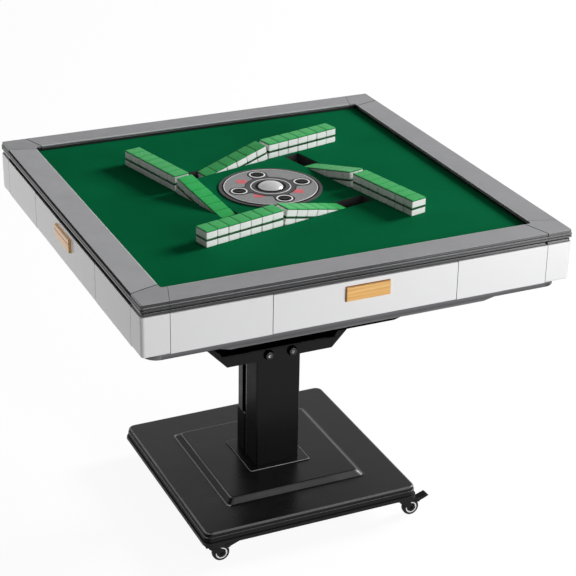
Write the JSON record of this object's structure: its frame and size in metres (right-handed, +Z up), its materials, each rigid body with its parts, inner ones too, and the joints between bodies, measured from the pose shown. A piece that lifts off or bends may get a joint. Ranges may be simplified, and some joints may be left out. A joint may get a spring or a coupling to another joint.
{
  "type": "automatic mahjong table",
  "caption": "Square tile-dealing game table with felt top, rising centre disc, lifting tile ramps, a drawer in each side and a pedestal on braked castors.",
  "frame": {"origin": "on the floor under the middle of the table", "axes": "+X to the right along the front edge, +Y to the back, +Z up"},
  "size_m": [0.964, 0.964, 0.8032],
  "materials": {
    "cast_black": "satin",
    "satin_black": "satin",
    "satin_grey": "satin",
    "bolt_black": "gloss",
    "zinc_steel": "satin",
    "pan_grey": "satin",
    "casing_white": "gloss",
    "trim_black": "satin",
    "rail_grey": "matte",
    "board_wood": "matte",
    "felt_green": "matte",
    "chute_dark": "matte",
    "tile_white": "gloss",
    "disc_dark": "satin",
    "disc_silver": "satin",
    "dome_silver": "gloss",
    "button_black": "gloss",
    "guide_alloy": "satin",
    "motor_grey": "satin",
    "roller_rubber": "matte",
    "box_plastic": "matte",
    "inlet_black": "matte",
    "handle_wood": "satin",
    "fork_black": "satin",
    "wheel_black": "satin"
  },
  "bodies": {
    "table": {"base_weight": "cast_black", "base_cover": "satin_black", "column_flange": "satin_black", "column_front": "satin_black", "column_rear": "satin_grey", "column_sleeve": "satin_black", "column_head": "satin_black", "yoke_cradle": "satin_black", "yoke_bolts": "bolt_black", "castor_plates": "zinc_steel", "bottom_pan": "pan_grey", "side_panels": "casing_white", "corner_posts": "casing_white", "edge_trim": "trim_black", "frame_rails": "rail_grey", "frame_corners": "rail_grey", "drawer_runners": "zinc_steel", "play_board": "board_wood", "felt": "felt_green", "tile_chutes": "chute_dark", "tile_walls": "tile_white", "lift_guide": "guide_alloy", "drum_motor": "motor_grey", "control_box": "box_plastic", "mains_inlet": "inlet_black"},
    "drawer_front": {"drawer_box_front": "casing_white", "drawer_handle_front": "handle_wood"},
    "drawer_right": {"drawer_box_right": "casing_white", "drawer_handle_right": "handle_wood"},
    "drawer_back": {"drawer_box_back": "casing_white", "drawer_handle_back": "handle_wood"},
    "drawer_left": {"drawer_box_left": "casing_white", "drawer_handle_left": "handle_wood"},
    "disc": {"disc_housing": "disc_dark", "disc_face": "disc_silver", "dice_dome": "dome_silver"},
    "button_front": {"disc_button_front": "button_black"},
    "button_right": {"disc_button_right": "button_black"},
    "button_back": {"disc_button_back": "button_black"},
    "button_left": {"disc_button_left": "button_black"},
    "ramp_front": {"tile_ramp_front": "chute_dark", "ramp_tiles_front": "tile_white"},
    "ramp_right": {"tile_ramp_right": "chute_dark", "ramp_tiles_right": "tile_white"},
    "ramp_back": {"tile_ramp_back": "chute_dark", "ramp_tiles_back": "tile_white"},
    "ramp_left": {"tile_ramp_left": "chute_dark", "ramp_tiles_left": "tile_white"},
    "drum": {"mixing_drum": "chute_dark"},
    "roller": {"drive_roller": "roller_rubber"},
    "castor_front_left": {"castor_fork_front_left": "fork_black"},
    "wheel_front_left": {"castor_wheel_front_left": "wheel_black"},
    "pedal_front_left": {"brake_pedal_front_left": "fork_black"},
    "castor_front_right": {"castor_fork_front_right": "fork_black"},
    "wheel_front_right": {"castor_wheel_front_right": "wheel_black"},
    "pedal_front_right": {"brake_pedal_front_right": "fork_black"},
    "castor_back_right": {"castor_fork_back_right": "fork_black"},
    "wheel_back_right": {"castor_wheel_back_right": "wheel_black"},
    "castor_back_left": {"castor_fork_back_left": "fork_black"},
    "wheel_back_left": {"castor_wheel_back_left": "wheel_black"}
  },
  "joints": [
    {"name": "drawer_front_slide", "type": "slide", "parent": "table", "child": "drawer_front", "axis": [0, -1, 0], "range_m": [0, 0.09]},
    {"name": "drawer_right_slide", "type": "slide", "parent": "table", "child": "drawer_right", "axis": [1, 0, 0], "range_m": [0, 0.09]},
    {"name": "drawer_back_slide", "type": "slide", "parent": "table", "child": "drawer_back", "axis": [0, 1, 0], "range_m": [0, 0.09]},
    {"name": "drawer_left_slide", "type": "slide", "parent": "table", "child": "drawer_left", "axis": [-1, 0, 0], "range_m": [0, 0.09]},
    {"name": "disc_lift", "type": "slide", "parent": "table", "child": "disc", "axis": [0, 0, 1], "range_m": [0, 0.07]},
    {"name": "button_front_press", "type": "slide", "parent": "disc", "child": "button_front", "axis": [0, 0, -1], "range_m": [0, 0.002], "stiffness_N_per_m": 300, "springref_m": -0.0015},
    {"name": "button_right_press", "type": "slide", "parent": "disc", "child": "button_right", "axis": [0, 0, -1], "range_m": [0, 0.002], "stiffness_N_per_m": 300, "springref_m": -0.0015},
    {"name": "button_back_press", "type": "slide", "parent": "disc", "child": "button_back", "axis": [0, 0, -1], "range_m": [0, 0.002], "stiffness_N_per_m": 300, "springref_m": -0.0015},
    {"name": "button_left_press", "type": "slide", "parent": "disc", "child": "button_left", "axis": [0, 0, -1], "range_m": [0, 0.002], "stiffness_N_per_m": 300, "springref_m": -0.0015},
    {"name": "ramp_front_lift", "type": "hinge", "parent": "table", "child": "ramp_front", "pos_m": [-0.05905, -0.18284, 0.761], "axis": [0.2334, -0.9724, 0], "range_deg": [0, 13.5]},
    {"name": "ramp_right_lift", "type": "hinge", "parent": "table", "child": "ramp_right", "pos_m": [0.18284, -0.05905, 0.761], "axis": [0.9724, 0.2334, 0], "range_deg": [0, 13.5]},
    {"name": "ramp_back_lift", "type": "hinge", "parent": "table", "child": "ramp_back", "pos_m": [0.05905, 0.18284, 0.761], "axis": [-0.2334, 0.9724, 0], "range_deg": [0, 13.5]},
    {"name": "ramp_left_lift", "type": "hinge", "parent": "table", "child": "ramp_left", "pos_m": [-0.18284, 0.05905, 0.761], "axis": [-0.9724, -0.2334, 0], "range_deg": [0, 13.5]},
    {"name": "drum_spin", "type": "hinge", "parent": "table", "child": "drum", "pos_m": [0, 0, 0.513], "axis": [0, 0, 1], "continuous": true},
    {"name": "roller_spin", "type": "hinge", "parent": "table", "child": "roller", "pos_m": [0.15931, 0.15931, 0.533], "axis": [0, 0, 1], "continuous": true},
    {"name": "castor_front_left_swivel", "type": "hinge", "parent": "table", "child": "castor_front_left", "pos_m": [-0.2385, -0.2385, 0.043], "axis": [0, 0, 1], "continuous": true},
    {"name": "wheel_front_left_spin", "type": "hinge", "parent": "castor_front_left", "child": "wheel_front_left", "pos_m": [-0.2185, -0.2385, 0.02], "axis": [0, 1, 0], "continuous": true},
    {"name": "pedal_front_left_press", "type": "hinge", "parent": "castor_front_left", "child": "pedal_front_left", "pos_m": [-0.2025, -0.2385, 0.037], "axis": [0, 1, 0], "range_deg": [0, 12]},
    {"name": "castor_front_right_swivel", "type": "hinge", "parent": "table", "child": "castor_front_right", "pos_m": [0.2385, -0.2385, 0.043], "axis": [0, 0, 1], "continuous": true},
    {"name": "wheel_front_right_spin", "type": "hinge", "parent": "castor_front_right", "child": "wheel_front_right", "pos_m": [0.2585, -0.2385, 0.02], "axis": [0, 1, 0], "continuous": true},
    {"name": "pedal_front_right_press", "type": "hinge", "parent": "castor_front_right", "child": "pedal_front_right", "pos_m": [0.2745, -0.2385, 0.037], "axis": [0, 1, 0], "range_deg": [0, 12]},
    {"name": "castor_back_right_swivel", "type": "hinge", "parent": "table", "child": "castor_back_right", "pos_m": [0.2385, 0.2385, 0.043], "axis": [0, 0, 1], "continuous": true},
    {"name": "wheel_back_right_spin", "type": "hinge", "parent": "castor_back_right", "child": "wheel_back_right", "pos_m": [0.23166, 0.25729, 0.02], "axis": [-0.9397, -0.342, 0], "continuous": true},
    {"name": "castor_back_left_swivel", "type": "hinge", "parent": "table", "child": "castor_back_left", "pos_m": [-0.2385, 0.2385, 0.043], "axis": [0, 0, 1], "continuous": true},
    {"name": "wheel_back_left_spin", "type": "hinge", "parent": "castor_back_left", "child": "wheel_back_left", "pos_m": [-0.21858, 0.24024, 0.02], "axis": [-0.0872, 0.9962, 0], "continuous": true}
  ],
  "couplings": [
    {"joint": "roller_spin", "follows": "drum_spin", "ratio": -6.5}
  ]
}
